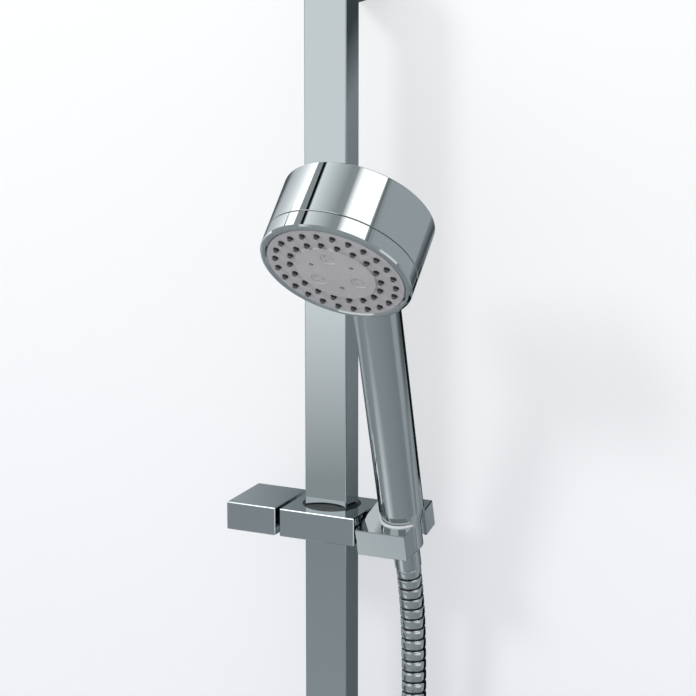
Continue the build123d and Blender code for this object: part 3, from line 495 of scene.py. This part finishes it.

# Patches in the room's own planes, seen only in reflections: painted light on the wall at the
# upper left with a dark sliver in it, a small one on the wall for the fork, and one on the floor
# in front, and painted shade as dark sheets near the wall beside the handle, the hose and the fork
patches = {
    "wall_light": {
        "corners": ((-2.55, -0.012, -0.32), (-0.13, -0.012, -0.32), (-0.13, -0.012, 1.9), (-2.55, -0.012, 1.9)),
        "fade": (0.01, 0.33, 0.1, 0.1), "light": 2.1, "color": "#ffffff"},
    "shelf_edge": {
        "corners": ((-0.69, -0.02, 0.215), (-0.565, -0.02, 0.206), (-0.565, -0.02, 0.23), (-0.69, -0.02, 0.275)),
        "fade": (0.05, 0.15, 0.15, 0.15), "light": 1.0, "color": "#1c1e1f"},
    "fork_light": {
        "corners": ((-0.034, -0.012, -0.302), (0.01, -0.012, -0.302), (0.01, -0.012, -0.235), (-0.034, -0.012, -0.235)),
        "fade": (0.1, 0.1, 0.1, 0.2), "light": 0.86, "color": "#f8fbfb"},
    "handle_shade": {
        "corners": ((0.012, -0.049, -0.30), (0.012, -0.007, -0.30), (0.012, -0.007, -0.10), (0.012, -0.049, -0.10)),
        "fade": (0.05, 0.1, 0.1, 0.1), "light": 1.0, "color": "#0c0d0e"},
    "hose_shade_left": {
        "corners": ((0.006, -0.012, -0.64), (0.031, -0.012, -0.64), (0.031, -0.012, -0.40), (0.006, -0.012, -0.40)),
        "fade": (0.15, 0.1, 0.1, 0.1), "light": 1.0, "color": "#101213"},
    "hose_shade_right": {
        "corners": ((0.056, -0.012, -0.64), (0.104, -0.012, -0.64), (0.104, -0.012, -0.40), (0.056, -0.012, -0.40)),
        "fade": (0.1, 0.1, 0.1, 0.1), "light": 1.0, "color": "#101213"},
    "contact_shade": {
        "corners": ((0.044, -0.012, -0.40), (0.072, -0.012, -0.40), (0.072, -0.012, -0.17), (0.044, -0.012, -0.17)),
        "fade": (0.1, 0.1, 0.05, 0.2), "light": 1.0, "color": "#0d0f10"},
    "edge_shade": {
        "corners": ((0.068, -0.012, -0.34), (0.106, -0.012, -0.34), (0.106, -0.012, -0.17), (0.068, -0.012, -0.17)),
        "fade": (0.1, 0.2, 0.05, 0.2), "light": 1.0, "color": "#0d0f10"},
    "floor_light": {
        "corners": ((-1.15, -1.15, -1.33), (-0.15, -1.15, -1.33), (-0.15, -0.35, -1.33), (-1.15, -0.35, -1.33)),
        "fade": (0.45, 0.45, 0.45, 0.45), "light": 1.0, "color": "#f4f8f9"},
}


def cardMaterial(name, settings):
    material = newMaterial(name)
    tree = material.node_tree
    place = addNode(tree, "ShaderNodeUVMap").outputs["UV"]
    split = addNode(tree, "ShaderNodeSeparateXYZ", inputs={"Vector": place})
    left, right, bottom, top = settings["fade"]
    strength = 1.0
    for axis, start, reach in (("X", 0, left), ("X", 1, -right), ("Y", 0, bottom), ("Y", 1, -top)):
        edge = addNode(tree, "ShaderNodeMapRange", inputs={
            "Value": split.outputs[axis], "From Min": start, "From Max": start + reach})
        strength = addNode(tree, "ShaderNodeMath", {"operation": "MULTIPLY"}, {
            0: edge.outputs["Result"], 1: strength}).outputs[0]
    glow = addNode(tree, "ShaderNodeEmission", inputs={
        "Color": hexColor(settings["color"]), "Strength": settings["light"]})
    clear = addNode(tree, "ShaderNodeBsdfTransparent")
    mix = addNode(tree, "ShaderNodeMixShader", inputs={
        "Fac": strength, 1: clear.outputs["BSDF"], 2: glow.outputs["Emission"]})
    return finishSurface(material, mix, "Shader")


def addCard(name, settings, corners):
    bm = bmesh.new()
    face = bm.faces.new([bm.verts.new(corner) for corner in corners])
    layer = bm.loops.layers.uv.new("UVMap")
    for loop, uv in zip(face.loops, ((0, 0), (1, 0), (1, 1), (0, 1))):
        loop[layer].uv = uv
    mesh = bpy.data.meshes.new(name)
    bm.to_mesh(mesh)
    bm.free()
    mesh.materials.append(cardMaterial(name, settings))
    card = newObject(name, mesh)
    card.visible_camera = False
    card.visible_diffuse = False
    card.visible_shadow = False


def roundCorners(settings):
    azimuth, elevation = radians(settings["azimuth"]), radians(settings["elevation"])
    outward = Vector((
        sin(azimuth) * cos(elevation), -cos(azimuth) * cos(elevation), sin(elevation)))
    level = Vector((cos(azimuth), sin(azimuth), 0))
    rise = outward.cross(level)
    roll = radians(settings["roll"])
    sideways = level * cos(roll) + rise * sin(roll)
    upward = rise * cos(roll) - level * sin(roll)
    middle = cardCentre + outward * settings["distance"]
    halfWidth = settings["distance"] * radians(settings["width"]) / 2
    halfHeight = settings["distance"] * radians(settings["height"]) / 2
    return [
        middle + sideways * halfWidth * a + upward * halfHeight * b
        for a, b in ((-1, -1), (1, -1), (1, 1), (-1, 1))]


for name, settings in cards.items():
    addCard(name, settings, roundCorners(settings))
for name, settings in patches.items():
    addCard(name, settings, settings["corners"])

# World: soft light for plain surfaces, a dim grey room for reflections, white for the camera
world = bpy.data.worlds.new("studio")
world.use_nodes = True
scene.world = world
tree = world.node_tree
tree.nodes.clear()
path = addNode(tree, "ShaderNodeLightPath")
room = addNode(tree, "ShaderNodeBackground", inputs={"Color": hexColor("#a9afb1"), "Strength": 1.0})
soft = addNode(tree, "ShaderNodeBackground", inputs={"Color": hexColor("#f6f8fb"), "Strength": 0.95})
seen = addNode(tree, "ShaderNodeBackground", inputs={"Color": hexColor("#fafbfc"), "Strength": 1.0})
lit = addNode(tree, "ShaderNodeMixShader", inputs={"Fac": path.outputs["Is Glossy Ray"]})
tree.links.new(soft.outputs[0], lit.inputs[1])
tree.links.new(room.outputs[0], lit.inputs[2])
shown = addNode(tree, "ShaderNodeMixShader", inputs={"Fac": path.outputs["Is Camera Ray"]})
tree.links.new(lit.outputs[0], shown.inputs[1])
tree.links.new(seen.outputs[0], shown.inputs[2])
out = addNode(tree, "ShaderNodeOutputWorld")
tree.links.new(shown.outputs[0], out.inputs["Surface"])

# Key lamp from the upper left, hidden from the chrome, for the soft shadows on the wall
lamps = {
    "key": {"place": (-1.3, -2.0, 1.3), "aim": (0.1, 0.0, -0.25), "size": 0.62, "power": 27.0},
}
for name, settings in lamps.items():
    lampData = bpy.data.lights.new(name, "AREA")
    lampData.shape = "DISK"
    lampData.size = settings["size"]
    lampData.energy = settings["power"]
    lamp = newObject(name, lampData)
    aim = Vector(settings["aim"]) - Vector(settings["place"])
    turn = aim.to_track_quat("-Z", "Y").to_matrix().to_4x4()
    lamp.matrix_world = Matrix.Translation(settings["place"]) @ turn
    lamp.visible_glossy = False

scene.view_settings.view_transform = "Standard"
